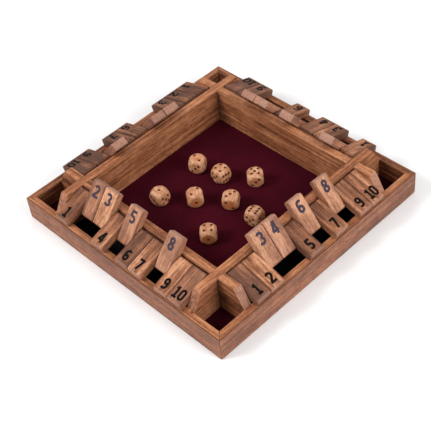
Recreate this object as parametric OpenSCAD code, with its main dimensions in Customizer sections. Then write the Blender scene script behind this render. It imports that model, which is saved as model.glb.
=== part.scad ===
// Four-player shut the box game: a square wooden case with a felt well, ten number tiles on each
// of its four sides, and eight wooden dice.
// Origin at the centre of the underside, +Z up. Side a faces -Y, b +X, c +Y and d -X, and every
// side is side a turned about Z. Tiles run 1 to 10 from left to right, seen from their own side.

/* [Case] */
// Outside width of the square case
case_w = 280; // [260:1:320]
// Height of the outer rails
rail_h = 28; // [26:0.5:30]
// Thickness of the outer rails
rail_t = 8.5; // [7.5:0.5:12]
// Clear width between a rail and an inner board, for the tiles and the corner trays
channel_w = 31.5; // [30.5:0.5:34]
// Height of the inner boards
wall_h = 47.5; // [46:0.5:50]
// Thickness of the inner boards
wall_t = 9.5; // [8:0.5:12]
// Level run of a sloping board end, from the bend to the rail
slope_run = 11; // [10:0.5:13]
// Radius of the bend above a sloping board end
bend_r = 4; // [2:0.5:6]
// Depth of the housing in a rail that takes a board end
housing_d = 3; // [2:0.5:5]
// Play of a board end in its housing
housing_play = 0.1; // [0.05:0.05:0.2]
// Size of the eased edges of rails and boards
ease = 0.8; // [0.4:0.1:1.2]

/* [Base and felt] */
// Thickness of the base panel
base_t = 6; // [4:0.5:7]
// Depth of the rebate in a rail that takes the base panel
rebate_d = 4; // [3:0.5:5]
// Play of the base panel in its rebate
base_play = 0.2; // [0.1:0.1:0.4]
// Thickness of the felt
felt_t = 1.5; // [1:0.1:2.5]
// Gap between the felt and the wood round it
felt_gap = 0.3; // [0.1:0.1:0.6]

/* [Tiles] */
// Tiles on each side
tile_n = 10; // [9:1:11]
// Thickness of a tile
tile_t = 8.8; // [8:0.1:9.4]
// Length of a tile from its rod to the end that carries the number
tile_front = 28.6; // [27:0.1:28.8]
// Length of a tile from its rod to its tail
tile_back = 11; // [9.5:0.1:11.3]
// Radius of a tile's rounded ends
tile_round = 2; // [1:0.1:2.6]
// Size of the eased long edges of a tile
tile_ease = 0.5; // [0.3:0.1:0.9]
// Gap between two tiles
tile_gap = 0.6; // [0.4:0.1:1]
// Side play of a whole row of tiles
row_play = 1; // [0.6:0.1:1.6]
// Distance from an inner board to the rod
rod_out = 11.8; // [11.6:0.1:12.4]
// Height of the rod above the ground
rod_z = 40.5; // [40:0.1:41.5]
// Diameter of the rod
rod_d = 3; // [2.5:0.1:3.6]
// Radial clearance of a tile on its rod
rod_fit = 0.08; // [0.05:0.01:0.1]
// Depth of a rod's seat in the boards at its two ends
rod_seat = 6; // [4:0.5:7]
// Radial clearance of a rod in its seat
seat_fit = 0.03; // [0.02:0.01:0.05]
// Gap left between a resting tile and the wood that stops it
rest_gap = 0.2; // [0.1:0.05:0.4]
// Numbers of the raised tiles on each side
raised = [[2, 3, 5, 8], [3, 4, 6, 8], [2, 5, 7, 8], [4, 5, 8]];

/* [Dice] */
// Width of a die
die_w = 17; // [14:0.5:19]
// Diameter of the ball that rounds a die's corners, as a share of its width
die_ball = 1.27; // [1.24:0.01:1.45]
// Diameter of a pip
pip_d = 2.6; // [2:0.1:3]
// Depth of a pip
pip_h = 0.6; // [0.3:0.1:1]
// Distance of a corner pip from the centre lines of its face, as a share of the die's width
pip_off = 0.21; // [0.19:0.01:0.22]
// Gap between a die and the felt under it
die_gap = 0.1; // [0.05:0.05:0.3]
// Where each die lies: centre X and Y, then its turns about X, Y and Z
dice = [
    [-50, 17, -90, 0, -60],
    [-20, 22, 90, 90, -95],
    [11, 41, 90, 0, -42],
    [-45, -42, 0, 0, -88],
    [-16, -20, -90, 0, 235],
    [15, 1, 0, -90, 35],
    [49, 0, 180, 0, 12],
    [31, -47, 90, 90, 45]
];

/* [Hidden] */
$fn = 48;
// Overlap of two bodies that are drawn as one, and how far a cutter reaches past what it cuts
eps = 0.01;
over = 1;
wood = [0.62, 0.4, 0.25];
wood_pale = [0.74, 0.53, 0.38];
wood_die = [0.85, 0.68, 0.46];
wood_dark = [0.12, 0.09, 0.08];
steel = [0.7, 0.7, 0.72];
felt_red = [0.27, 0.03, 0.1];

SIDES = ["a", "b", "c", "d"];
// Row names are padded to two figures, so that they sort by number.
function tile_name(side, n) = str("tile_", SIDES[side], n < 10 ? "0" : "", n);
function die_name(k) = str("die_", k + 1);

// Distances out from the centre of the case, at right angles to a side
case_out = case_w / 2;
rail_in = case_out - rail_t;
wall_out = rail_in - channel_w;
wall_mid = wall_out - wall_t / 2;
well = wall_out - wall_t;
rod_at = wall_out + rod_out;
wall_end = rail_in + housing_d - housing_play;

// A row's share of the channel, and one tile in it
pitch = (2 * well - row_play) / tile_n;
tile_w = pitch - tile_gap;

// The boards are halved into each other at the middle of their height.
lap_z = (base_t + wall_h) / 2;

// A shut tile tips down until the round of its front end meets the rail.
nose = [tile_front - tile_round, tile_t / 2 - tile_round];
shut_turn = atan2(nose[1], nose[0])
    - asin((rod_z - rail_h - rest_gap - tile_round) / norm(nose));
// An open tile tips back over its rod until its flat face meets the top edge of the inner board.
stop = [rod_out, wall_h - rod_z];
open_turn = 180 - atan2(stop[1], stop[0]) - asin((tile_t / 2 + rest_gap) / norm(stop));
echo(shut_turn = shut_turn, open_turn = open_turn, travel = open_turn - shut_turn);

function is_raised(side, n) = len([for (k = raised[side]) if (k == n) k]) > 0;

// Turns what is drawn for side a to another side.
module at_side(side) {
    rotate([0, 0, 90 * side]) children();
}

// Carries a section, drawn with X outward and Y upward, along side a over a length.
module along_side(length) {
    rotate([90, 0, -90]) linear_extrude(height = length, center = true) children();
}

// Carries a section, drawn with X along the side and Y upward, through a thickness centred at y.
module across_side(y, thickness) {
    translate([0, y, 0]) rotate([90, 0, 0])
        linear_extrude(height = thickness, center = true) children();
}

// One outer rail: mitred ends, a rebate for the base panel and two housings for board ends.
module rail(side) {
    color(wood) at_side(side) difference() {
        intersection() {
            along_side(case_w + 2 * over) polygon([
                [rail_in + rebate_d, 0], [case_out - ease, 0], [case_out, ease],
                [case_out, rail_h - ease], [case_out - ease, rail_h],
                [rail_in + ease, rail_h], [rail_in, rail_h - ease],
                [rail_in, base_t], [rail_in + rebate_d, base_t]
            ]);
            linear_extrude(height = rail_h)
                polygon([[0, 0], [-case_out, -case_out], [case_out, -case_out]]);
        }
        for (x = [-wall_mid, wall_mid])
            translate([x - wall_t / 2, -rail_in - housing_d, base_t - eps])
                cube([wall_t, housing_d + eps, rail_h]);
    }
}

// Long face of an inner board: level along the top, then a rounded bend and a slope to the rail.
module wall_face() {
    fall = wall_h - rail_h;
    slope = atan2(fall, slope_run);
    bend_at = rail_in - slope_run;
    tangent = bend_r * tan(slope / 2);
    past_bend = [bend_at + tangent * cos(slope), wall_h - tangent * sin(slope)];
    polygon([
        [-wall_end, base_t], [wall_end, base_t], [wall_end, rail_h], [rail_in, rail_h],
        past_bend, [bend_at - tangent, wall_h],
        [tangent - bend_at, wall_h], [-past_bend[0], past_bend[1]],
        [-rail_in, rail_h], [-wall_end, rail_h]
    ]);
    for (turn = [-1, 1])
        translate([turn * (bend_at - tangent), wall_h - bend_r]) circle(r = bend_r);
}

// One inner board: halved over its two neighbours and bored for the ends of their rods.
module wall(side) {
    lap_from = side % 2 == 0 ? lap_z : base_t - eps;
    lap_h = side % 2 == 0 ? wall_h - lap_z + eps : lap_z - base_t + eps;
    color(wood) at_side(side) difference() {
        intersection() {
            across_side(-wall_mid, wall_t) wall_face();
            along_side(2 * (wall_end + over)) polygon([
                [well, base_t], [wall_out, base_t], [wall_out, wall_h - ease],
                [wall_out - ease, wall_h], [well + ease, wall_h], [well, wall_h - ease]
            ]);
        }
        for (x = [-wall_mid, wall_mid])
            translate([x - wall_t / 2, -wall_out - eps, lap_from])
                cube([wall_t, wall_t + 2 * eps, lap_h]);
        for (x = [-rod_at, rod_at])
            translate([x, -well - rod_seat, rod_z]) rotate([-90, 0, 0])
                cylinder(d = rod_d + 2 * seat_fit, h = rod_seat + eps);
    }
}

// Base panel, let into the rebates of the rails
module base_panel() {
    half = rail_in + rebate_d - base_play;
    color(wood_dark) translate([-half, -half, 0]) cube([2 * half, 2 * half, base_t]);
}

// Felt in the well and in the four corner trays
module felt_linings() {
    tray = channel_w - 2 * felt_gap;
    tray_at = wall_out + channel_w / 2;
    bed = 2 * (well - felt_gap);
    color(felt_red) translate([0, 0, base_t]) {
        translate([-bed / 2, -bed / 2, 0]) cube([bed, bed, felt_t]);
        for (x = [-tray_at, tray_at], y = [-tray_at, tray_at])
            translate([x - tray / 2, y - tray / 2, 0]) cube([tray, tray, felt_t]);
    }
}

// The four rods that the tiles turn on, one along each side
module tile_rods() {
    reach = well + rod_seat - seat_fit;
    color(steel) for (side = [0:3])
        at_side(side) translate([-reach, -rod_at, rod_z]) rotate([0, 90, 0])
            cylinder(d = rod_d, h = 2 * reach);
}

// Long section of a tile about its rod: two flat faces and rounded ends
module tile_face() {
    straight = tile_front + tile_back - 2 * tile_round;
    difference() {
        union() {
            translate([-tile_back, tile_round - tile_t / 2])
                square([tile_front + tile_back, tile_t - 2 * tile_round]);
            translate([tile_round - tile_back, -tile_t / 2]) square([straight, tile_t]);
            for (u = [tile_round - tile_back, nose[0]], v = [-nose[1], nose[1]])
                translate([u, v]) circle(r = tile_round);
        }
        circle(d = rod_d + 2 * rod_fit);
    }
}

// One number tile, shut or open, on the rod of its side
module tile(side, n) {
    flat = tile_t / 2;
    edge = tile_w / 2;
    color(wood_pale) at_side(side)
        translate([(n - (tile_n + 1) / 2) * pitch, -rod_at, rod_z])
            rotate([is_raised(side, n) ? -open_turn : -shut_turn, 0, 0])
                intersection() {
                    along_side(tile_w) tile_face();
                    rotate([90, 0, 0])
                        linear_extrude(height = 4 * tile_front, center = true) polygon([
                            [-edge, tile_ease - flat], [tile_ease - edge, -flat],
                            [edge - tile_ease, -flat], [edge, tile_ease - flat],
                            [edge, flat - tile_ease], [edge - tile_ease, flat],
                            [tile_ease - edge, flat], [-edge, flat - tile_ease]
                        ]);
                }
}

// Pips of one face about its centre: the middle one, one diagonal, the other, then the two sides
function pips(count) = [
    if (count % 2 == 1) [0, 0],
    if (count > 1) each [[-1, -1], [1, 1]],
    if (count > 3) each [[-1, 1], [1, -1]],
    if (count > 5) each [[-1, 0], [1, 0]]
];

// One wooden die: a cube cut by a ball, with drilled pips, opposite faces adding up to seven
module die(k) {
    faces = [
        [1, [0, 0, 0]], [6, [180, 0, 0]], [2, [90, 0, 0]],
        [5, [-90, 0, 0]], [3, [0, 90, 0]], [4, [0, -90, 0]]
    ];
    spot = dice[k];
    color(wood_die)
        translate([spot[0], spot[1], base_t + felt_t + die_gap + die_w / 2])
            rotate([spot[2], spot[3], spot[4]]) difference() {
                intersection() {
                    cube(die_w, center = true);
                    sphere(d = die_w * die_ball);
                }
                for (face = faces, p = pips(face[0]))
                    rotate(face[1])
                        translate([p[0] * pip_off * die_w, p[1] * pip_off * die_w, die_w / 2 - pip_h])
                            cylinder(d = pip_d, h = pip_h + over, $fn = 24);
            }
}

for (side = [0:3]) {
    rail(side);
    wall(side);
}
base_panel();
felt_linings();
tile_rods();
for (side = [0:3], n = [1:tile_n])
    tile(side, n);
for (k = [0:len(dice) - 1])
    die(k);
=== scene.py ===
"""Looks of the four-player shut the box game: walnut case and tiles, felt, steel rods, wooden dice.

Sizes are in millimetres and angles in degrees, as in the case's drawing, and a mesh becomes metres
when it is made. Side a faces -Y, b +X, c +Y and d -X: side k is side a turned k quarter turns
about Z.
"""

import math

import bmesh
import bpy
import numpy as np
from mathutils import Matrix, Vector
from mathutils.geometry import delaunay_2d_cdt


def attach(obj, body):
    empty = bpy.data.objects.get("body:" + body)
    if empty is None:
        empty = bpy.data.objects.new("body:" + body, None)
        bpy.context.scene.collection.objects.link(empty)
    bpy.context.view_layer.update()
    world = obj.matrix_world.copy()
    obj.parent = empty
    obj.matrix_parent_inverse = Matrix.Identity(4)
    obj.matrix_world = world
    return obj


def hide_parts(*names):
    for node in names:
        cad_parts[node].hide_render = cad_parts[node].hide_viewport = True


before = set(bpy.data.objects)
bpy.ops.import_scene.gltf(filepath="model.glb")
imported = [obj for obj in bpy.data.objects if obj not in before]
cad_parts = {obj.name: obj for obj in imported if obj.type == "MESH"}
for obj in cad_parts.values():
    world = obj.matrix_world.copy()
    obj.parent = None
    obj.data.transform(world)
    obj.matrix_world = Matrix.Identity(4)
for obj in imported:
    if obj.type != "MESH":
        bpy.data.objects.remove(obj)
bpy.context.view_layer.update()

MM = 0.001
SIDES = "abcd"

# Case: distances out from its middle, and heights above the ground
CASE_OUT = 140.0  # outer face of a rail
RAIL_IN = 131.5  # inner face of a rail
RAIL_H = 28.0
WALL_OUT = 100.0  # outer face of an inner board
WELL = 90.5  # inner face of an inner board
WALL_H = 47.5
BASE_T = 6.0
ARRIS = 0.45  # rounding of every edge of a board
SHARP = 0.35  # least turn, in radians, of an edge that is rounded
MARGIN = 0.5  # strip of a flat face along its rounded edges
BOARD_HEART = (0, 22, 0)  # from the heart of its tree to a board: along, across and through it
BOARD_SEAT = (900, 12, 8)  # and how much that varies from board to board
RAIL_BACK_PAINTED_SHADE = 0.17  # painted shade: how much darker a rail is painted on the face that looks inwards

# Felt
FELT_T = 1.5
FELT_GAP = 0.3  # between the felt and the wood round it
FELT_ROUND = 0.5  # radius of the upper edge
FELT_SWELL = 0.05  # half the depth of the face's waves
FELT_GLUE = 0.02

# Tiles
TILE_N = 10
ROW_PLAY = 1.0  # side play of a whole row
TILE_GAP = 0.6
PITCH = (2 * WELL - ROW_PLAY) / TILE_N
TILE_W = PITCH - TILE_GAP
TILE_T = 8.8
TILE_FRONT = 28.6  # from the rod to the nose
TILE_BACK = 11.0  # from the rod to the tail
TILE_ROUND = 2.0  # radius of the rounded nose and tail
TILE_ARRIS = 0.55  # radius of the long edges
BORE = 1.58  # radius of the hole for the rod
BORE_ARRIS = 0.3
TILE_HEART = 14  # from the heart of its tree to a tile, across
TILE_SEAT = (900, 16, 14)  # and how much that varies: along, across and through
HEEL_PAINTED_SHADE = 0.35  # painted shade, with darker end grain: how much darker a tail is, by the wall
FLANK_PAINTED_SHADE = 0.18  # and the flanks, as painted shade between neighbouring tiles
ROD_AT = WALL_OUT + 11.8
ROD_Z = 40.5
RAISED = {"a": (2, 3, 5, 8), "b": (3, 4, 6, 8), "c": (2, 5, 7, 8), "d": (4, 5, 8)}
REST_GAP = 0.2  # between a resting tile and the wood that stops it

# Numbers on the tiles
FIGURE_H = {"shut": 12.0, "open": 13.4}
FIGURE_AT = 18.4  # from the rod to the middle of a number
FIGURE_STEP = 0.57  # from the 1 to the 0 of a ten, as a share of the height
FIGURE_RISE = 0.03
FIGURE_SINK = 0.12
PEN = 0.21  # width of a stroke, as a share of the height

# Dice
DIE = 17.0
DIE_BALL = 1.27 * DIE / 2  # radius of the ball that rounds it
DIE_BLEND = 26.0  # how closely its surface keeps to the cube and the ball
DIE_GAP = 0.1  # between a die and the felt
DIE_Z = BASE_T + FELT_T + DIE_GAP + DIE / 2
PIP_R = 1.3
PIP_DEPTH = 0.6
PIP_SCORCH = 1.5  # reach of a pip's scorched rim, in its radii
PIP_OFF = 0.21 * DIE
# Where each die lies: x and y of its middle, then its turns about X, Y and Z
DICE = [
    (-50, 17, -90, 0, -60), (-20, 22, 90, 90, -95), (11, 41, 90, 0, -42), (-45, -42, 0, 0, -88),
    (-16, -20, -90, 0, 235), (15, 1, 0, -90, 35), (49, 0, 180, 0, 12), (31, -47, 90, 90, 45),
]
# Which of its own axes a die's grain follows, and how brown its ends are
DIE_GRAIN = ((1, 0.5), (0, 0.3), (0, 0.6), (1, 0.4), (2, 0.9), (1, 1.0), (0, 0.3), (2, 1.1))


# ---------------------------------------------------------------- camera

def put_camera(azimuth, elevation, roll, distance, aside, lens):
    """Looks at a point by the case's middle from `distance`, rolled by `roll`.

    With R the rows right, down and forward, a point P lands at R P + (aside, distance), so the eye
    is at -R^T (aside, distance).
    """
    az, el, ro = np.radians([azimuth, elevation, roll])
    back = np.array([np.sin(az) * np.cos(el), -np.cos(az) * np.cos(el), np.sin(el)])
    right = np.cross(-back, [0, 0, 1])
    right /= np.linalg.norm(right)
    down = np.cross(-back, right)
    turn = np.array([[np.cos(ro), -np.sin(ro), 0], [np.sin(ro), np.cos(ro), 0], [0, 0, 1]])
    rows = turn @ np.array([right, down, -back])
    eye = -rows.T @ np.array([*aside, distance]) * MM
    camera = bpy.data.objects.new("camera", bpy.data.cameras.new("camera"))
    axes = Matrix([*map(Vector, (rows[0], -rows[1], -rows[2]))]).transposed()
    camera.matrix_world = Matrix.Translation(Vector(eye)) @ axes.to_4x4()
    camera.data.lens = lens
    camera.data.sensor_width = 36.0
    camera.data.clip_start, camera.data.clip_end = 0.05, 20.0
    bpy.context.scene.collection.objects.link(camera)
    bpy.context.scene.camera = camera


put_camera(azimuth=50.17, elevation=45.18, roll=-7.27, distance=1077.0, aside=(5.8, -10.0),
           lens=87.3)


# ---------------------------------------------------------------- shader maths

class Wire:
    """An output socket in shader maths: + - * and abs() add the Math node that works them out."""

    def __init__(self, tree, socket):
        self.tree, self.socket = tree, socket

    def __add__(self, other): return self.tree.math("ADD", self, other)
    def __radd__(self, other): return self.tree.math("ADD", other, self)
    def __sub__(self, other): return self.tree.math("SUBTRACT", self, other)
    def __rsub__(self, other): return self.tree.math("SUBTRACT", other, self)
    def __mul__(self, other): return self.tree.math("MULTIPLY", self, other)
    def __rmul__(self, other): return self.tree.math("MULTIPLY", other, self)
    def __abs__(self): return self.tree.math("ABSOLUTE", self)


class Tree:
    """A node tree that is built node by node."""

    def __init__(self, tree):
        self.nodes, self.links = tree.nodes, tree.links

    def feed(self, node, values):
        """Sets or links sockets, given by name or, as a plain sequence, in order."""
        pairs = values.items() if isinstance(values, dict) else enumerate(values)
        for key, value in pairs:
            socket = node.inputs[key]
            if isinstance(value, Wire):
                self.links.new(value.socket, socket)
            elif socket.type == "RGBA":
                socket.default_value = (*value, 1.0)
            else:
                socket.default_value = value

    def add(self, kind, settings=None, values=(), out=0):
        """Adds one node: its settings first, a ramp's stops among them, then its sockets."""
        node = self.nodes.new(kind)
        for key, value in (settings or {}).items():
            if key == "stops":
                ramp = node.color_ramp
                while len(ramp.elements) < len(value):
                    ramp.elements.new(1.0)
                for element, (place, colour) in zip(ramp.elements, value):
                    element.position, element.color = place, (*colour, 1.0)
            else:
                setattr(node, key, value)
        self.feed(node, values)
        return Wire(self, node.outputs[out])

    def math(self, operation, *values):
        return self.add("ShaderNodeMath", {"operation": operation}, values)


class Finish(Tree):
    """One material, built on a Principled shader."""

    def __init__(self, name, **constants):
        self.material = bpy.data.materials.new(name)
        self.material.use_nodes = True
        super().__init__(self.material.node_tree)
        self.shader = self.nodes["Principled BSDF"]
        self.feed(self.shader, {key.replace("_", " "): v for key, v in constants.items()})

    def attribute(self, name, out="Fac"):
        return self.add("ShaderNodeAttribute", {"attribute_name": name}, out=out)

    def place(self):
        """The place on the object, in metres."""
        return self.add("ShaderNodeTexCoord", out="Object")

    def split(self, place):
        """The three parts of a place."""
        x = self.add("ShaderNodeSeparateXYZ", None, (place,))
        return [Wire(self, socket) for socket in x.socket.node.outputs]

    def length(self, place):
        return self.add("ShaderNodeVectorMath", {"operation": "LENGTH"}, (place,), out="Value")

    def stretched(self, place, scale):
        """place * scale, part by part."""
        return self.add("ShaderNodeVectorMath", {"operation": "MULTIPLY"}, (place, scale))

    def noise(self, place, scale=1.0, detail=2.0, rough=0.5, twist=0.0):
        """Noise at one scale, or drawn out where scale has a part for each direction."""
        if isinstance(scale, tuple):
            place, scale = self.stretched(place, scale), 1.0
        return self.add("ShaderNodeTexNoise", None, {
            "Vector": place, "Scale": scale, "Detail": detail, "Roughness": rough,
            "Distortion": twist})

    def ease(self, value, low, high, to_low=0.0, to_high=1.0):
        """Smooth step of value from low..high to to_low..to_high."""
        return self.add("ShaderNodeMapRange", {"interpolation_type": "SMOOTHSTEP"}, {
            "Value": value, "From Min": low, "From Max": high, "To Min": to_low,
            "To Max": to_high})

    def mix(self, share, first, second):
        """Colours first and second, mixed by share."""
        return self.add("ShaderNodeMix", {"data_type": "RGBA"}, {0: share, 6: first, 7: second},
                        out=2)

    def bump(self, height, distance, strength):
        """Normal of a surface whose height varies by up to `distance` metres."""
        return self.add("ShaderNodeBump", None, {
            "Height": height, "Distance": distance, "Strength": strength})


def srgb(red, green, blue):
    """Screen colour, 0 to 255, as linear light."""
    value = np.array([red, green, blue]) / 255
    return tuple(np.where(value <= 0.04045, value / 12.92, ((value + 0.055) / 1.055) ** 2.4))


# ---------------------------------------------------------------- finishes

def walnut(name, dark, middle, pale, streaky, patchy):
    """Oiled walnut, solid through the piece.

    The attribute `grain` is the place in the tree it was sawn from, in mm: along the grain, across
    and through. Streaks, patches and fibres are noise drawn out along it, and rings are a sine of
    the wandering distance from the tree's heart. `shade` and `blush` tone each piece, and also
    carry painted shade and a painted reflection on some faces; `end` marks sawn ends, `edge`
    rounded edges, lighter for wear and as a painted highlight, and `rail` the rails.

    `spot` is the place on the case, x, y and z, turned back to side a. The mitres' glue line lies
    where | |x| + y | is near nothing, and a line of painted shade runs along the outer edge of a
    rail's top. Below their tops the inner boards are painted darker, as shade, towards the boards
    that cross them, most in the nook: `away` is the distance from such a board's face, its half
    thickness taken from | |x| - its middle |.
    """
    ring, wander = 3.4, 30.0
    wood = Finish(name, IOR=1.5, Specular_IOR_Level=0.2)
    place = wood.attribute("grain", "Vector")
    shade, blush, end, edge, rail = map(wood.attribute, ("shade", "blush", "end", "edge", "rail"))
    drift = wood.noise(place, (0.008, 0.04, 0.04))
    heart = wood.length(wood.stretched(place, (0.03, 1.0, 1.0)))
    rings = wood.math("SINE", (heart + drift * wander) * (2 * math.pi / ring))
    streaks = wood.noise(place, (0.009, 0.30, 0.30), detail=3.0, rough=0.6)
    hairs = wood.noise(place, (0.03, 0.95, 0.95), detail=3.0, rough=0.65)
    patch = wood.ease(wood.noise(place, (0.014, 0.055, 0.055)), 0.42, 0.58)
    cloud = wood.noise(place, 0.09, detail=3.0)
    mottle = wood.noise(place, (0.16, 0.42, 0.42), detail=3.0, rough=0.6)
    fibre = wood.noise(place, (0.30, 2.6, 2.6), detail=3.0, rough=0.65)
    pores = wood.ease(wood.noise(place, (0.22, 1.9, 1.9)), 0.55, 0.68)
    figure = (wood.ease(streaks, 0.34, 0.66) - 0.5) * streaky + rings * 0.05
    depth = (figure * (1 - blush * 0.45) + (patch - 0.5) * patchy + (hairs - 0.5) * 0.8
             + (fibre - 0.5) * 0.8 + (cloud - 0.5) * 0.40 + (mottle - 0.5) * 0.6 + shade + 0.5)
    colour = wood.add("ShaderNodeValToRGB", {
        "stops": [(0.04, dark), (0.50, middle), (0.98, pale)]}, (depth,))
    # blush: the wood's own pink tone, and on the rails' outer faces a painted reflection of the
    # pale sky
    pink = wood.mix(0.55, colour, srgb(172, 128, 112))
    colour = wood.mix(blush * (0.45 + 0.55 * cloud), colour, pink)
    colour = wood.mix(pores * 0.6, colour, dark)

    specks = wood.ease(wood.noise(place, (1.1, 2.3, 2.3)), 0.35, 0.75)
    sawn = wood.mix(specks, srgb(128, 88, 72), srgb(208, 162, 142))
    sawn = wood.mix(wood.ease(shade, -0.25, 0.15, 0.45, 0.0), sawn, srgb(112, 80, 70))
    colour = wood.mix(end * 0.72, colour, sawn)
    # Rounded edges lighter orange: wear, and a painted highlight on the arrises
    colour = wood.mix(wood.ease(edge, 0.2, 1.0) * 0.22, colour, srgb(190, 128, 88))

    x, y, z = wood.split(wood.attribute("spot", "Vector"))
    # Painted shade: below their tops the inner boards darken towards the boards that cross them,
    # most in the nook
    away = abs(abs(x) - (WELL + WALL_OUT) / 2) - (WALL_OUT - WELL) / 2
    below = (1 - rail) * wood.ease(z, WALL_H - 2.5, WALL_H - 0.6, 1.0, 0.0)
    painted_corner_shade = below * wood.ease(away, -2.0, 16.0, 1.0, 0.0)
    painted_nook_shade = below * wood.ease(away, 0.1, 1.0, 1.0, 0.0)
    # Painted shade: a dark line along the outer edge of a rail's top
    line = (rail * wood.ease(z, RAIL_H - 1.2, RAIL_H - 0.5)
            * wood.ease(y, 0.8 - CASE_OUT, 1.4 - CASE_OUT, 1.0, 0.0))
    joint = rail * wood.ease(abs(abs(x) + y), 0.12, 0.50, 1.0, 0.0)
    colour = wood.mix(painted_corner_shade * 0.42, colour, srgb(56, 30, 18))
    colour = wood.mix(painted_nook_shade * 0.6, colour, srgb(34, 18, 12))
    colour = wood.mix(line * 0.55, colour, srgb(104, 56, 30))
    colour = wood.mix(joint * 0.7, colour, srgb(58, 32, 22))
    wood.feed(wood.shader, {
        "Base Color": colour,
        "Roughness": 0.5 + fibre * 0.14 + pores * 0.12 - edge * 0.06,
        "Normal": wood.bump(fibre * 0.4 + hairs * 0.3 - pores * 0.8 - joint, 0.00022, 0.6),
    })
    return wood.material


def stained_panel(name):
    """Base panel: hardboard below, near black on the top side that shows in the channels."""
    panel = Finish(name, Specular_IOR_Level=0.12)
    place = panel.place()
    height = panel.split(place)[2]
    chips = panel.noise(place, 420.0, detail=4.0, rough=0.7)
    waves = panel.noise(place, 60.0, detail=3.0)
    bare = panel.mix(panel.ease(chips, 0.3, 0.7), srgb(92, 62, 42), srgb(136, 98, 68))
    black_top = panel.mix(chips * 0.5 + waves * 0.4 - 0.2, srgb(3, 3, 3), srgb(16, 12, 12))
    top = panel.ease(height, (BASE_T - 1.5) * MM, (BASE_T - 1.0) * MM)
    panel.feed(panel.shader, {
        "Base Color": panel.mix(top, bare, black_top),
        "Roughness": 0.66 + chips * 0.25,
        "Normal": panel.bump(chips, 0.0002, 0.4),
    })
    return panel.material


def wool_felt(name):
    """Pressed burgundy felt: matted fibres over slow patches of lighter and darker pile.

    The attribute `dull` marks the trays' felt, which is painted darker, as shade.
    """
    felt = Finish(name, Specular_IOR_Level=0.04, Sheen_Weight=0.08, Sheen_Roughness=0.5,
                  Sheen_Tint=srgb(150, 40, 66))
    place = felt.place()
    matted = felt.noise(place, 1500.0, detail=4.0, rough=0.7, twist=1.6)
    tufts = felt.noise(place, 420.0, detail=3.0, rough=0.6)
    patch = felt.noise(place, 22.0, detail=3.0)
    lint = felt.ease(felt.noise(place, (900.0, 260.0, 900.0), detail=1.0, twist=2.0), 0.70, 0.78)
    body = felt.mix(felt.ease(patch, 0.3, 0.7), srgb(34, 4, 11), srgb(54, 7, 18))
    body = felt.mix(matted * 0.8 + tufts * 0.5 - 0.35, body, srgb(80, 15, 29))
    # Painted shade: the trays' felt is darkened
    body = felt.mix(felt.attribute("dull") * 0.5, body, srgb(14, 3, 8))
    felt.feed(felt.shader, {
        "Base Color": felt.mix(lint * 0.35, body, srgb(104, 46, 54)),
        "Roughness": 0.88 + matted * 0.12,
        "Normal": felt.bump(matted * 0.7 + tufts, 0.0004, 0.8),
    })
    return felt.material


def bright_steel(name):
    """Drawn steel rod: fine scratches, and a little dullness."""
    steel = Finish(name, Metallic=1.0)
    place = steel.place()
    scratch = steel.noise(place, 900.0, detail=3.0)
    dull = steel.noise(place, 70.0, detail=3.0)
    steel.feed(steel.shader, {
        "Base Color": steel.mix(dull * 0.5, srgb(200, 200, 204), srgb(150, 148, 146)),
        "Roughness": 0.22 + scratch * 0.14 + dull * 0.12,
        "Normal": steel.bump(scratch, 0.00005, 0.3),
    })
    return steel.material


def pale_beech(name):
    """Dice wood, waxed: fine flecks along the grain, browner sawn ends and scorched pips.

    The attribute `grain` is the place in the wood, in mm, along the grain first. `shade` browns the
    whole die, `end` marks its sawn ends, and `pip` rises towards the middle of a pip.
    """
    wood = Finish(name, Specular_IOR_Level=0.3)
    place = wood.attribute("grain", "Vector")
    shade, end, pip = map(wood.attribute, ("shade", "end", "pip"))
    bands = wood.noise(place, (0.03, 0.5, 0.5), detail=3.0, rough=0.6)
    flecks = wood.noise(place, (0.35, 2.6, 2.6))
    fibre = wood.noise(place, (0.2, 6.0, 6.0))
    smudge = wood.noise(place, 0.16)
    scorched = wood.ease(pip, 0.30, 0.48)
    colour = wood.mix(wood.ease(bands, 0.3, 0.7), srgb(176, 122, 88), srgb(222, 176, 140))
    colour = wood.mix(wood.ease(flecks, 0.50, 0.66) * 0.6, colour, srgb(140, 86, 56))
    colour = wood.mix(wood.ease(smudge, 0.44, 0.62) * 0.6, colour, srgb(156, 92, 54))
    colour = wood.mix(shade, colour, srgb(172, 106, 62))
    colour = wood.mix(end * (0.45 + 0.5 * smudge), colour, srgb(176, 96, 44))
    colour = wood.mix(wood.ease(pip, 0.05, 0.5) * 0.6, colour, srgb(126, 66, 34))
    wood.feed(wood.shader, {
        "Base Color": wood.mix(scorched, colour, srgb(78, 34, 15)),
        "Roughness": 0.42 + fibre * 0.18 + scorched * 0.3,
        "Normal": wood.bump(fibre * 0.4 + flecks * 0.3, 0.00012, 0.5),
    })
    return wood.material


def printed_ink(name, body, wear_and_highlight):
    """Printed number: the ink thins in specks over the wood's pores."""
    ink = Finish(name, Specular_IOR_Level=0.06)
    place = ink.place()
    thin = ink.noise(place, 1300.0, detail=3.0, rough=0.7)
    cloud = ink.noise(place, 180.0)
    ink.feed(ink.shader, {
        "Base Color": ink.mix(ink.ease(thin, 0.58, 0.80) * 0.5 + cloud * 0.06, body, wear_and_highlight),
        "Roughness": 0.5 + thin * 0.3,
    })
    return ink.material


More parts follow.
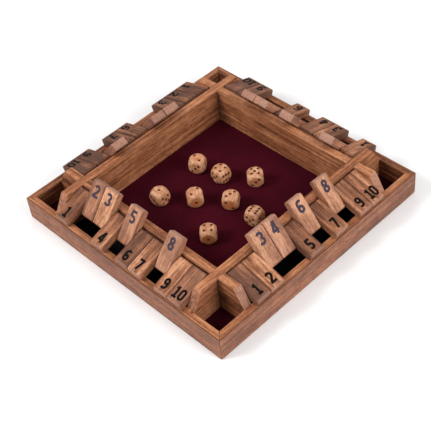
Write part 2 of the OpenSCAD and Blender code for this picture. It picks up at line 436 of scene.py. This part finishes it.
CASE_WOOD = walnut("walnut_case", dark=srgb(80, 42, 24), middle=srgb(150, 92, 60),
                   pale=srgb(196, 136, 96), streaky=0.50, patchy=0.16)
TILE_WOOD = walnut("walnut_tile", dark=srgb(82, 48, 32), middle=srgb(146, 92, 62),
                   pale=srgb(208, 152, 116), streaky=0.34, patchy=0.36)
DIE_WOOD = pale_beech("pale_die")
PANEL = stained_panel("dark_panel")
FELT = wool_felt("burgundy_felt")
STEEL = bright_steel("steel_rod")
BLACK_INK = printed_ink("black_ink", srgb(10, 8, 8), srgb(58, 38, 30))
SLATE_INK = printed_ink("slate_ink", srgb(64, 54, 64), srgb(110, 88, 90))


# ---------------------------------------------------------------- mesh making

def add_piece(name, mesh, material, body, stands_for=()):
    """Puts a mesh into the scene, on the body that it moves with."""
    mesh.materials.append(material)
    piece = bpy.data.objects.new(name, mesh)
    bpy.context.scene.collection.objects.link(piece)
    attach(piece, body)
    if stands_for:
        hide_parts(*stands_for)
    return piece


def new_mesh(name, points, faces, marks):
    """A mesh from points in mm and faces, with its marks."""
    mesh = bpy.data.meshes.new(name)
    mesh.from_pydata((np.asarray(points) * MM).tolist(), [], faces)
    dress(mesh, marks)
    return mesh


def dress(mesh, marks):
    """Puts the marks on a mesh's points, values or vectors, and normals weighted by face area.

    A point's normal is the sum of its faces' normals, each times the face's area, so that a wide
    flat stays flat up to the rounding beside it.
    """
    for key, values in marks.items():
        kind, field = ("FLOAT_VECTOR", "vector") if np.ndim(values) == 2 else ("FLOAT", "value")
        layer = mesh.attributes.new(key, kind, "POINT")
        spread = np.broadcast_to(values, (len(mesh.vertices), *np.shape(values)[1:]))
        layer.data.foreach_set(field, np.ascontiguousarray(spread, np.float32).ravel())
    count = len(mesh.polygons)
    area, facing = np.empty(count), np.empty(3 * count)
    turns, corners = np.empty(count, int), np.empty(len(mesh.loops), int)
    mesh.polygons.foreach_get("area", area)
    mesh.polygons.foreach_get("normal", facing)
    mesh.polygons.foreach_get("loop_total", turns)
    mesh.loops.foreach_get("vertex_index", corners)
    pull = np.repeat(facing.reshape(-1, 3) * area[:, None], turns, axis=0)
    normal = np.stack([np.bincount(corners, pull[:, k], len(mesh.vertices)) for k in range(3)], 1)
    normal /= np.maximum(np.linalg.norm(normal, axis=1, keepdims=True), 1e-20)
    mesh.polygons.foreach_set("use_smooth", np.ones(count, bool))
    mesh.normals_split_custom_set_from_vertices(normal.tolist())


def grid_faces(rows, columns, wrap=False):
    """Quads of a rows x columns grid of points, closed round both ways if it wraps."""
    r = np.arange(rows if wrap else rows - 1)[:, None]
    c = np.arange(columns if wrap else columns - 1)[None, :]
    below, beside = (r + 1) % rows, (c + 1) % columns
    return np.stack([r * columns + c, r * columns + beside, below * columns + beside,
                     below * columns + c], -1).reshape(-1, 4)


def at_side(side, points):
    """Points drawn for side a, turned to another side."""
    k = SIDES.index(side)
    c, s = (1, 0, -1, 0)[k], (0, 1, 0, -1)[k]
    x, y, z = np.asarray(points, float).T
    return np.stack([c * x - s * y, s * x + c * y, z], 1)


# ---------------------------------------------------------------- case

def board(node, side, tone, painted_face_tone, painted_back_shade=0.0, sawn=0.0):
    """A rail or an inner board: the solid with every edge rounded, and wood that runs along it.

    A tone is how pale the wood is and how pink. The face that looks outwards has its own tone,
    which is painted light, painted shade and painted reflection for how light falls on it, and the
    one that looks inwards is painted darker, as shade, by painted_back_shade. Ends are toned as
    sawn wood by the share sawn.
    """
    shape = bmesh.new()
    shape.from_mesh(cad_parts[node].data)
    bmesh.ops.remove_doubles(shape, verts=shape.verts, dist=1e-6)
    bmesh.ops.dissolve_limit(shape, angle_limit=0.01, verts=shape.verts, edges=shape.edges)
    sharp = [e for e in shape.edges if len(e.link_faces) == 2 and e.calc_face_angle(0) > SHARP]
    made = bmesh.ops.bevel(shape, geom=sharp, offset=ARRIS * MM, segments=2, profile=0.5,
                           affect="EDGES", clamp_overlap=True)
    rounded = set(made["faces"])
    bmesh.ops.inset_region(shape, faces=[f for f in shape.faces if f not in rounded],
                           thickness=MARGIN * MM, use_even_offset=True)
    bmesh.ops.dissolve_degenerate(shape, dist=1e-6, edges=shape.edges)
    # Points on the rounded edges, marked for wear and a painted highlight
    wear_and_highlight = np.array([any(f in rounded for f in v.link_faces) for v in shape.verts], float)
    name = node + "_oiled"
    mesh = bpy.data.meshes.new(name)
    shape.to_mesh(mesh)
    shape.free()
    points, facing = np.empty(3 * len(mesh.vertices)), np.empty(3 * len(mesh.vertices))
    mesh.vertices.foreach_get("co", points)
    mesh.vertices.foreach_get("normal", facing)
    # From here on, the points and normals as if the board were on side a
    back_to_a = SIDES[-SIDES.index(side) % 4]
    points = at_side(back_to_a, points.reshape(-1, 3) / MM)
    facing = at_side(back_to_a, facing.reshape(-1, 3))
    front, back = np.clip(-facing[:, 1], 0, 1), np.clip(facing[:, 1], 0, 1)
    seat = np.random.default_rng(sum(map(ord, node))).uniform(-1, 1, 3) * BOARD_SEAT
    (shade, blush), (painted_face_shade, painted_face_blush) = tone, painted_face_tone
    dress(mesh, {
        "grain": points + seat + BOARD_HEART,
        "shade": shade + (painted_face_shade - shade) * front - painted_back_shade * back,
        "blush": blush + (painted_face_blush - blush) * front,
        "end": np.clip(np.abs(facing[:, 0]) * 1.6 - 0.3, 0, 1) * sawn,
        "edge": wear_and_highlight,
        "rail": float(node.startswith("rail")),
        "spot": points,
    })
    add_piece(name, mesh, CASE_WOOD, "case", [node])


# How pale each rail is, and its outer face, which is painted darker as shade
RAIL_SHADES = {"a": (0.06, -0.25), "b": (0.08, -0.25), "c": (-0.10, -0.18), "d": (-0.12, -0.18)}
# How pale each inner board is, and its outer face, painted darker on a and lighter on b as shade
# and light in the trays, and how much its ends are toned as sawn
WALL_SHADES = {"a": (0.0, -0.16, 0.9), "b": (0.0, 0.04, 0.4), "c": (0.08, 0.0, 0.9),
               "d": (0.0, 0.0, 0.5)}
for side in SIDES:
    shade, painted_face_shade = RAIL_SHADES[side]
    # A rail's outer face is painted pinker, blush 0.62, as a painted reflection of the pale sky
    board("rail_" + side, side, (shade, 0.05), (painted_face_shade, 0.62), RAIL_BACK_PAINTED_SHADE)
    shade, painted_face_shade, sawn = WALL_SHADES[side]
    board("wall_" + side, side, (shade, 0.0), (painted_face_shade, 0.06), sawn=sawn)


def felt(name, centre, width, dull):
    """A glued felt: a closed slab whose upper edge is rounded and whose face is never quite level.

    Its face is a grid that is finer towards the rim: x = half sin(90 s) and y = half sin(90 t) for
    s and t from -1 to 1. The face falls by a quarter circle at the rim, and waves by a product of
    two sines. The underside is the same grid laid flat, and quads join the two rims.
    """
    half, n = width / 2, 41
    t = np.sin(np.linspace(-1, 1, n) * math.pi / 2)
    x, y = np.meshgrid(t * half, t * half, indexing="ij")
    inside = np.minimum(half - np.abs(x), half - np.abs(y))
    short = np.clip(FELT_ROUND - inside, 0, None)
    drop = FELT_ROUND - np.sqrt(np.clip(FELT_ROUND**2 - short**2, 0, None))
    wave = FELT_SWELL * (np.sin(x / 13 + 1.3 * np.sin(y / 17)) * np.sin(y / 11 + centre[0]) - 1)
    top = np.stack([x + centre[0], y + centre[1], BASE_T + FELT_T - drop + wave], -1)
    under = np.stack([x + centre[0], y + centre[1], np.full_like(x, BASE_T + FELT_GLUE)], -1)
    points = np.concatenate([top.reshape(-1, 3), under.reshape(-1, 3)])
    cells = grid_faces(n, n)
    i = np.arange(n - 1)
    rim = np.concatenate([i * n, (n - 1) * n + i, (n - 1 - i) * n + n - 1, n - 1 - i])
    edge = np.stack([rim, np.roll(rim, -1), np.roll(rim, -1) + n * n, rim + n * n], 1)
    faces = np.concatenate([cells[:, ::-1], cells + n * n, edge[:, ::-1]]).tolist()
    piece = add_piece(name, new_mesh(name, points, faces, {"dull": dull}), FELT, "case",
                      ["felt_linings"])
    width * MM
    width * MM


felt("felt_well", (0, 0), 2 * (WELL - FELT_GAP), dull=0.0)
# The trays' felt is painted darker, as shade
tray_at, tray_w = (WALL_OUT + RAIL_IN) / 2, RAIL_IN - WALL_OUT - 2 * FELT_GAP
for corner, x, y in (("ab", 1, -1), ("bc", 1, 1), ("cd", -1, 1), ("da", -1, -1)):
    felt("felt_tray_" + corner, (x * tray_at, y * tray_at), tray_w, dull=1.0)

for node, material in (("base_panel", PANEL), ("tile_rods", STEEL)):
    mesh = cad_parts[node].data
    mesh.materials.clear()
    mesh.materials.append(material)


# ---------------------------------------------------------------- tiles

def rest_turn(raised):
    """Angle of a resting tile above the level, from the wood that stops it, as in the drawing."""
    if raised:
        out, up = ROD_AT - WALL_OUT, WALL_H - ROD_Z
        return 180 - math.degrees(math.atan2(up, out)
                                  + math.asin((TILE_T / 2 + REST_GAP) / math.hypot(out, up)))
    reach, lift = TILE_FRONT - TILE_ROUND, TILE_T / 2 - TILE_ROUND
    return math.degrees(math.atan2(lift, reach) - math.asin(
        (ROD_Z - RAIL_H - REST_GAP - TILE_ROUND) / math.hypot(reach, lift)))


def on_tile(side, n, u, x, v):
    """Tile places to the case's: u from the rod to the nose, x along the side, v up through it."""
    turn = math.radians(rest_turn(n in RAISED[side]))
    out = ROD_AT + u * math.cos(turn) - v * math.sin(turn)
    z = ROD_Z + u * math.sin(turn) + v * math.cos(turn)
    across = x + (n - (TILE_N + 1) / 2) * PITCH
    return at_side(side, np.stack([across, -out, z], 1))


def outline(shrink):
    """A tile's long section, shrunk all round by `shrink`: a rectangle with rounded corners.

    Each corner is a quarter circle of radius TILE_ROUND - shrink. Seven points divide each long
    flat, and one the nose and the tail.
    """
    quarter = np.linspace(0, math.pi / 2, 7)
    ends = ((TILE_FRONT, 1, 1), (-TILE_BACK, -1, 1), (-TILE_BACK, -1, -1), (TILE_FRONT, 1, -1))
    corners = []
    for k, (end, way_u, way_v) in enumerate(ends):
        centre = np.array([end - way_u * TILE_ROUND, way_v * (TILE_T / 2 - TILE_ROUND)])
        angle = quarter + k * math.pi / 2
        corners.append(centre + (TILE_ROUND - shrink) * np.stack([np.cos(angle), np.sin(angle)], 1))
    flats = (np.linspace(0, 1, 9)[1:-1], [0.5])
    loop = []
    for k in range(4):
        start, stop = corners[k][-1], corners[(k + 1) % 4][0]
        loop += [corners[k], start + np.outer(flats[k % 2], stop - start)]
    return np.concatenate(loop)


def tile(side, n, shade, blush):
    """One tile, a ring about its rod, with the wood toned by shade and blush.

    Rings run from the middle of the bore out to one side, over its flank and the rounded long
    edge, across the face, and back the same way. The bore's rings are r (cos a, sin a), with a the
    angle of each point of the outline, and the flank's middle ring is halfway between the two.
    """
    side_x = TILE_W / 2
    rim = outline(TILE_ARRIS)
    angle = np.arctan2(*rim.T[::-1])
    circle = np.stack([np.cos(angle), np.sin(angle)], 1)
    mouth = circle * (BORE + BORE_ARRIS)
    hole = [(BORE * circle, 0.0), (BORE * circle, side_x - BORE_ARRIS), (mouth, side_x),
            (mouth + (rim - mouth) * 0.5, side_x)]
    bend = [(outline(TILE_ARRIS * (1 - math.cos(a))), side_x - TILE_ARRIS * (1 - math.sin(a)))
            for a in np.radians([90, 67.5, 45, 22.5, 0])]
    flat = [(outline(0.0), side_x - 2 * TILE_ARRIS), (outline(0.0), TILE_W / 6)]
    half = hole + bend + flat
    rings = half + [(ring, -x) for ring, x in half[::-1] if x > 0]
    # Rings of the rounded long edges, marked for wear and a painted highlight
    wear_and_highlight = np.array([0] * len(hole) + [1] * len(bend) + [0] * len(flat))
    wear_and_highlight = np.repeat(np.concatenate([wear_and_highlight, wear_and_highlight[:0:-1]]), len(rim))
    u, v = (np.concatenate([ring[:, k] for ring, _ in rings]) for k in (0, 1))
    x = np.repeat([x for _, x in rings], len(rim))
    seed = np.random.default_rng(100 * SIDES.index(side) + n)
    seat = seed.uniform(-1, 1, 3) * TILE_SEAT + (0, TILE_HEART * seed.choice([-1, 1]), 0)
    # Tails and flanks are painted darker, as shade, and the nose's pale sawn colour is kept off the
    # flanks
    tip = np.clip((u - TILE_FRONT + TILE_ROUND) / (0.5 * TILE_ROUND), 0, 1)
    heel = np.clip((TILE_ROUND - TILE_BACK - u) / TILE_ROUND, 0, 1)
    flank = np.clip((np.abs(x) - side_x + 2 * TILE_ARRIS) / TILE_ARRIS, 0, 1)
    node = f"tile_{side}{n:02d}"
    name = node + "_oiled"
    faces = grid_faces(len(rings), len(rim), wrap=True).tolist()
    add_piece(name, new_mesh(name, on_tile(side, n, u, x, v), faces, {
        "grain": np.stack([u, x, v], 1) + seat,
        "shade": shade - HEEL_PAINTED_SHADE * heel - FLANK_PAINTED_SHADE * flank,
        "blush": blush,
        "end": tip * (1 - 0.7 * flank),
        "edge": wear_and_highlight * (1 - heel) * (1 - flank),
    }), TILE_WOOD, node, [node])


# Tone of each tile: how pale it is, and how pink
TONES = {
    "a": ((-0.12, 0.1), (-0.16, 0.4), (0.38, 0.1), (-0.12, 0.1), (0.08, 0.5),
          (-0.36, 0.2), (0.02, 0.1), (0.20, 0.8), (0.10, 0.0), (-0.25, 0.4)),
    "b": ((-0.30, 0.3), (0.07, 0.0), (0.23, 0.6), (0.16, 0.7), (-0.44, 0.2),
          (0.25, 0.5), (-0.06, 0.1), (0.10, 0.4), (-0.10, 0.2), (0.02, 0.1)),
    "c": ((-0.12, 0.1), (0.20, 0.7), (-0.20, 0.1), (-0.24, 0.1), (0.20, 0.6),
          (-0.30, 0.1), (0.20, 0.6), (0.20, 0.3), (-0.38, 0.3), (-0.46, 0.3)),
    "d": ((-0.24, 0.0), (-0.42, 0.0), (-0.42, 0.1), (0.16, 0.6), (-0.10, 0.7),
          (-0.14, 0.0), (-0.46, 0.0), (0.13, 0.6), (-0.34, 0.0), (-0.42, 0.1)),
}


def arc(x, y, wide, tall, start, stop):
    """Points round an ellipse with centre x, y, from angle start to stop in degrees."""
    angle = np.radians(np.linspace(start, stop, 20))
    return np.stack([x + wide * np.cos(angle), y + tall * np.sin(angle)], 1)


def strokes():
    """Middle lines of the strokes of each figure, one unit tall from y = 0, and 0.58 wide."""
    bowl = [arc(0, 0.30, 0.19, 0.205, 0, 360),
            np.concatenate([arc(0.02, 0.68, 0.21, 0.225, 38, 180), [(-0.19, 0.30)]])]
    return {
        "0": [np.concatenate([arc(0, 0.70, 0.185, 0.205, 0, 180),
                              arc(0, 0.30, 0.185, 0.205, 180, 360), [(0.185, 0.70)]])],
        "1": [[(0.02, 0.0), (0.02, 1.0)], [(-0.17, 0.76), (0.0, 0.90)],
              [(-0.2, 0.07), (0.24, 0.07)]],
        "2": [np.concatenate([arc(0, 0.70, 0.205, 0.205, 165, -32), [(-0.18, 0.15)]]),
              [(-0.30, 0.095), (0.31, 0.095)]],
        "3": [arc(-0.02, 0.715, 0.205, 0.19, 155, -85), arc(-0.02, 0.30, 0.225, 0.205, 85, -155)],
        "4": [[(0.06, 1.0), (-0.20, 0.30)], [(-0.28, 0.28), (0.28, 0.28)],
              [(0.11, 0.0), (0.11, 1.0)]],
        "5": [[(-0.20, 0.91), (0.24, 0.91)], [(-0.14, 0.95), (-0.17, 0.50)],
              arc(0, 0.32, 0.19, 0.225, 140, -150)],
        "6": bowl,
        "7": [[(-0.27, 0.91), (0.27, 0.91)], [(0.18, 0.93), (-0.07, 0.0)]],
        "8": [arc(0, 0.725, 0.165, 0.18, 0, 360), arc(0, 0.285, 0.19, 0.19, 0, 360)],
        "9": [np.array([0, 1]) - part for part in bowl],
    }


def figure_shapes():
    """Flat points and triangles of the figures 0 to 9, a unit tall about their middle.

    A stroke is a band: its middle line moved half a pen's width either way along its normal. The
    bands of a figure are cut into one set of triangles, and those inside any band are kept.
    """
    shapes = {}
    for figure, lines in strokes().items():
        points, bands = [], []
        for line in map(np.asarray, lines):
            way = np.gradient(line, axis=0)
            way /= np.linalg.norm(way, axis=1, keepdims=True)
            aside = np.stack([-way[:, 1], way[:, 0]], 1) * PEN / 2
            start, count = sum(map(len, points)), len(line)
            points += [line + aside, line - aside]
            i = start + np.arange(count - 1)
            bands += np.stack([i, i + count, i + count + 1, i + 1], 1).tolist()
        flat = (np.concatenate(points) - (0, 0.5)).tolist()
        found = delaunay_2d_cdt([Vector(p) for p in flat], [], bands, 0, 1e-6)
        kept = [list(face) for face, inside in zip(found[2], found[5]) if inside]
        shapes[figure] = (np.array([tuple(p) for p in found[0]]), kept)
    return shapes


FIGURES = figure_shapes()


def rim_edges(cells):
    """Directed edges that only one face of a flat figure uses."""
    pairs = {(a, b) for f in cells for a, b in zip(f, f[1:] + f[:1])}
    return sorted((a, b) for a, b in pairs if (b, a) not in pairs)


def number(side, n):
    """The tile's number on both faces, each figure a thin slab let into the wood.

    It is upright to a player outside while the tile is shut, and again on the underside, upright
    while the tile is open.
    """
    word, node = str(n), f"tile_{side}{n:02d}"
    for label, up, face_v, ink in (("shut", -1, 1, BLACK_INK), ("open", 1, -1, SLATE_INK)):
        height = FIGURE_H[label]
        points, faces, start = [], [], 0
        for k, figure in enumerate(word):
            flat, cells = FIGURES[figure]
            size = len(flat)
            across = (flat[:, 0] + (k - (len(word) - 1) / 2) * FIGURE_STEP) * height
            away = FIGURE_AT + up * flat[:, 1] * height
            for v in (TILE_T / 2 + FIGURE_RISE, TILE_T / 2 - FIGURE_SINK):
                points.append(np.stack([away, across, np.full(size, face_v * v)], 1))
            faces += [[start + i for i in f] for f in cells]
            faces += [[start + size + i for i in f[::-1]] for f in cells]
            faces += [[start + j, start + i, start + size + i, start + size + j]
                      for i, j in rim_edges(cells)]
            start += 2 * size
        u, x, v = np.concatenate(points).T
        name = f"number_{side}{n:02d}_{label}"
        add_piece(name, new_mesh(name, on_tile(side, n, u, x, v), faces, {}), ink, node)


for side in SIDES:
    for n in range(1, TILE_N + 1):
        tile(side, n, *TONES[side][n - 1])
        number(side, n)


# ---------------------------------------------------------------- dice

PIPS = {
    1: [(0, 0)], 2: [(-1, -1), (1, 1)], 3: [(0, 0), (-1, -1), (1, 1)],
    4: [(-1, -1), (1, 1), (-1, 1), (1, -1)], 5: [(0, 0), (-1, -1), (1, 1), (-1, 1), (1, -1)],
    6: [(-1, -1), (1, 1), (-1, 1), (1, -1), (-1, 0), (1, 0)],
}
# Pips of each face, and its turns about X and Y from the top
DIE_FACES = ((1, 0, 0), (6, 180, 0), (2, 90, 0), (5, -90, 0), (3, 0, 90), (4, 0, -90))


def turned(points, x=0.0, y=0.0, z=0.0):
    """Points turned about X, then Y, then Z."""
    for axis, angle in enumerate(np.radians([x, y, z])):
        turn, i, j = np.eye(3), (axis + 1) % 3, (axis + 2) % 3
        turn[[i, j], [i, j]] = np.cos(angle)
        turn[j, i] = np.sin(angle)
        turn[i, j] = -turn[j, i]
        points = points @ turn.T
    return points


def die(k):
    """One die, on six grids that are finer at the pips, with their shared edges merged.

    In a direction whose largest share is m, the surface is at radius
    ((m / half)^q + (1 / ball)^q)^(-1/q), a soft meeting of the cube and the ball that rounds it.
    At share g of its radius from its middle, a pip is PIP_DEPTH (1 - g^2)^0.6 deep.
    """
    over_pip = np.linspace(-1, 1, 15) * PIP_R * 1.35
    beyond = np.linspace(PIP_OFF + PIP_R * 1.4, DIE / 2, 6)
    lines = np.concatenate([over_pip - PIP_OFF, over_pip, over_pip + PIP_OFF, beyond, -beyond])
    lines = np.unique(np.round(lines, 3))
    a, b = np.meshgrid(lines, lines, indexing="ij")
    cube = np.stack([a, b, np.full_like(a, DIE / 2)], -1).reshape(-1, 3)
    length = np.linalg.norm(cube, axis=1)
    largest = cube[:, 2] / length
    radius = ((largest / (DIE / 2)) ** DIE_BLEND + (1 / DIE_BALL) ** DIE_BLEND) ** (-1 / DIE_BLEND)
    plain = cube / length[:, None] * radius[:, None]
    upward = largest[:, None] ** 2 * [0.0, 0.0, 1.0]
    cells = grid_faces(len(lines), len(lines))[:, ::-1]
    points, pips, facing, faces = [], [], [], []
    for index, (count, turn_x, turn_y) in enumerate(DIE_FACES):
        pip = np.zeros(len(plain))
        for i, j in PIPS[count]:
            gap = np.hypot(plain[:, 0] - i * PIP_OFF, plain[:, 1] - j * PIP_OFF) / PIP_R
            pip = np.maximum(pip, np.clip(PIP_SCORCH - gap, 0, PIP_SCORCH))
        sunk = PIP_DEPTH * np.clip(1 - (PIP_SCORCH - pip) ** 2, 0, 1) ** 0.6
        points.append(turned(plain - sunk[:, None] * [0.0, 0.0, 1.0], turn_x, turn_y))
        facing.append(turned(upward, turn_x, turn_y))
        pips.append(pip)
        faces.append(cells + index * len(plain))
    points, facing, pips, faces = map(np.concatenate, (points, facing, pips, faces))
    _, first, same = np.unique(np.round(points, 4), axis=0, return_index=True, return_inverse=True)
    own, faces = points[first], same.ravel()[faces]
    x, y, *turns = DICE[k]
    along, brown = DIE_GRAIN[k]
    seed = np.random.default_rng(500 + k)
    node = f"die_{k + 1}"
    name = node + "_waxed"
    placed = turned(own, *turns) + (x, y, DIE_Z)
    add_piece(name, new_mesh(name, placed, faces.tolist(), {
        "grain": own[:, np.roll([0, 1, 2], -along)] + seed.uniform(-1, 1, 3) * 400,
        "end": np.clip((np.abs(facing[first][:, along]) - 0.62) * 14, 0, 1) * brown,
        "pip": pips[first],
        "shade": seed.uniform(0, 0.15),
    }), DIE_WOOD, node, [node])


for k in range(len(DICE)):
    die(k)


# ---------------------------------------------------------------- floor and light

def white_floor(far):
    """A pale floor that takes the object's shadow, and is white where nothing shades it.

    Away from the lamps it glows to the camera alone, so that it stays white up to its far edge.
    """
    paint = Finish("floor_paint", Roughness=0.9, Specular_IOR_Level=0.0, Emission_Strength=1.0)
    place = paint.place()
    seen = paint.add("ShaderNodeLightPath", out="Is Camera Ray")
    glow = seen * paint.ease(paint.length(place), 0.4, 1.6)
    paint.feed(paint.shader, {
        "Base Color": paint.mix(paint.noise(place, 3.0), (0.90, 0.90, 0.90), (0.92, 0.92, 0.92)),
        "Emission Color": paint.mix(glow, (0, 0, 0), (1, 1, 1)),
    })
    mesh = bpy.data.meshes.new("floor")
    mesh.from_pydata([(-far, -far, 0), (far, -far, 0), (far, far, 0), (-far, far, 0)], [],
                     [(0, 1, 2, 3)])
    mesh.materials.append(paint.material)
    floor = bpy.data.objects.new("floor", mesh)
    bpy.context.scene.collection.objects.link(floor)


def softbox(name, place, size, power):
    """A square lamp that faces the case."""
    lamp = bpy.data.lights.new(name, "AREA")
    lamp.shape, lamp.size, lamp.energy = "SQUARE", size, power
    holder = bpy.data.objects.new(name, lamp)
    holder.location = place
    holder.rotation_euler = (-Vector(place)).to_track_quat("-Z", "Y").to_euler()
    bpy.context.scene.collection.objects.link(holder)


def sky(strength):
    """White all round: it lights the object by `strength`, and is 1 to the camera and in gloss."""
    world = bpy.data.worlds.new("sky")
    world.use_nodes = True
    bpy.context.scene.world = world
    air = Tree(world.node_tree)
    camera, gloss, through = (air.add("ShaderNodeLightPath", out=f"Is {ray} Ray")
                              for ray in ("Camera", "Glossy", "Transmission"))
    plain = air.math("MAXIMUM", air.math("MAXIMUM", camera, gloss), through)
    air.feed(air.nodes["Background"], {
        "Color": (1, 1, 1), "Strength": strength + plain * (1 - strength)})


white_floor(far=6.0)
softbox("left_lamp", place=(-0.78, -1.35, 1.45), size=0.7, power=27)
softbox("right_lamp", place=(1.40, 0.25, 1.00), size=0.8, power=17)
sky(0.64)

bpy.context.scene.view_settings.view_transform = "Standard"
